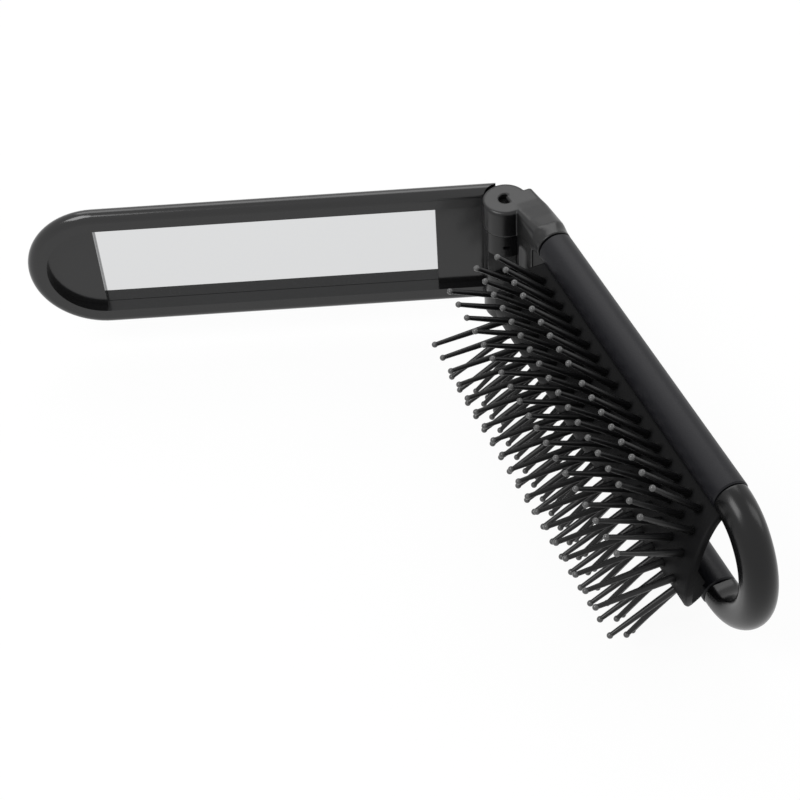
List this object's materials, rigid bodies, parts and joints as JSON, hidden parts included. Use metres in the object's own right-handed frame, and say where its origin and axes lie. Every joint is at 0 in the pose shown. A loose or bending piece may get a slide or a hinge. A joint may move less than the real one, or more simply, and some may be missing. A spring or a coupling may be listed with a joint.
{
  "type": "folding hairbrush with mirror",
  "caption": "Folding hairbrush: a mirror in a rounded case hinges onto an arched brush with a finger loop; the pins sink as it shuts.",
  "frame": {"origin": "middle of the bounding box at its lowest level, with the object standing on its long edges", "axes": "+Z along the hinge axis, +X from the mirror case towards the brush, mirror facing -Y"},
  "size_m": [0.158, 0.1164, 0.0508],
  "materials": {
    "case_plastic": "gloss",
    "mirror": "mirror",
    "tape": "matte",
    "hinge_plastic": "gloss",
    "pin_plug": "matte",
    "soft_grip": "matte",
    "pad_rubber": "matte",
    "pin_plastic": "satin"
  },
  "bodies": {
    "brush_frame": {"hinge_head": "hinge_plastic", "loop_frame": "hinge_plastic", "grip_sleeve_upper": "soft_grip", "grip_sleeve_lower": "soft_grip", "bristle_pad": "pad_rubber"},
    "barrel": {"hinge_pin": "pin_plug", "detent_ring_upper": "hinge_plastic", "detent_ring_lower": "hinge_plastic"},
    "mirror_case": {"mirror_case": "case_plastic", "mirror_glass": "mirror", "mirror_tape": "tape"},
    "row_1": {"pin_row_1": "pin_plastic"},
    "row_2": {"pin_row_2": "pin_plastic"},
    "row_3": {"pin_row_3": "pin_plastic"},
    "row_4": {"pin_row_4": "pin_plastic"},
    "row_5": {"pin_row_5": "pin_plastic"},
    "row_6": {"pin_row_6": "pin_plastic"},
    "row_7": {"pin_row_7": "pin_plastic"}
  },
  "joints": [
    {"name": "case_open", "type": "hinge", "parent": "barrel", "child": "mirror_case", "pos_m": [0.033, 0.04765, 0.02535], "axis": [0, 0, 1], "range_deg": [-69.6, 0]},
    {"name": "brush_close", "type": "hinge", "parent": "barrel", "child": "brush_frame", "pos_m": [0.033, 0.04765, 0.02535], "axis": [0, 0, -1], "range_deg": [0, 110.4], "deforming": ["bristle_pad"]},
    {"name": "row_1_sink", "type": "hinge", "parent": "brush_frame", "child": "row_1", "pos_m": [0.06006, -0.0063, 0.04821], "axis": [0.3486, -0.9373, 0], "range_deg": [0, 65.89]},
    {"name": "row_2_sink", "type": "hinge", "parent": "brush_frame", "child": "row_2", "pos_m": [0.05905, -0.00668, 0.05044], "axis": [0.3486, -0.9373, 0], "range_deg": [0, 57.47]},
    {"name": "row_3_sink", "type": "hinge", "parent": "brush_frame", "child": "row_3", "pos_m": [0.05838, -0.00693, 0.06101], "axis": [0.3486, -0.9373, 0], "range_deg": [0, 38]},
    {"name": "row_4_sink", "type": "slide", "parent": "brush_frame", "child": "row_4", "axis": [0.9373, 0.3486, 0], "range_m": [0, 0.02435]},
    {"name": "row_5_sink", "type": "hinge", "parent": "brush_frame", "child": "row_5", "pos_m": [0.05838, -0.00693, -0.0103], "axis": [-0.3486, 0.9373, 0], "range_deg": [0, 38]},
    {"name": "row_6_sink", "type": "hinge", "parent": "brush_frame", "child": "row_6", "pos_m": [0.05905, -0.00668, 0.00027], "axis": [-0.3486, 0.9373, 0], "range_deg": [0, 57.47]},
    {"name": "row_7_sink", "type": "hinge", "parent": "brush_frame", "child": "row_7", "pos_m": [0.06042, -0.00617, 0.00142], "axis": [-0.3486, 0.9373, 0], "range_deg": [0, 63.24]}
  ],
  "couplings": [
    {"joint": "row_1_sink", "follows": "brush_close", "ratio": 0.59684},
    {"joint": "row_2_sink", "follows": "brush_close", "ratio": 0.52059},
    {"joint": "row_3_sink", "follows": "brush_close", "ratio": 0.3442},
    {"joint": "row_4_sink", "follows": "brush_close", "m_per_rad": 0.012636},
    {"joint": "row_5_sink", "follows": "brush_close", "ratio": 0.3442},
    {"joint": "row_6_sink", "follows": "brush_close", "ratio": 0.52059},
    {"joint": "row_7_sink", "follows": "brush_close", "ratio": 0.57282}
  ]
}
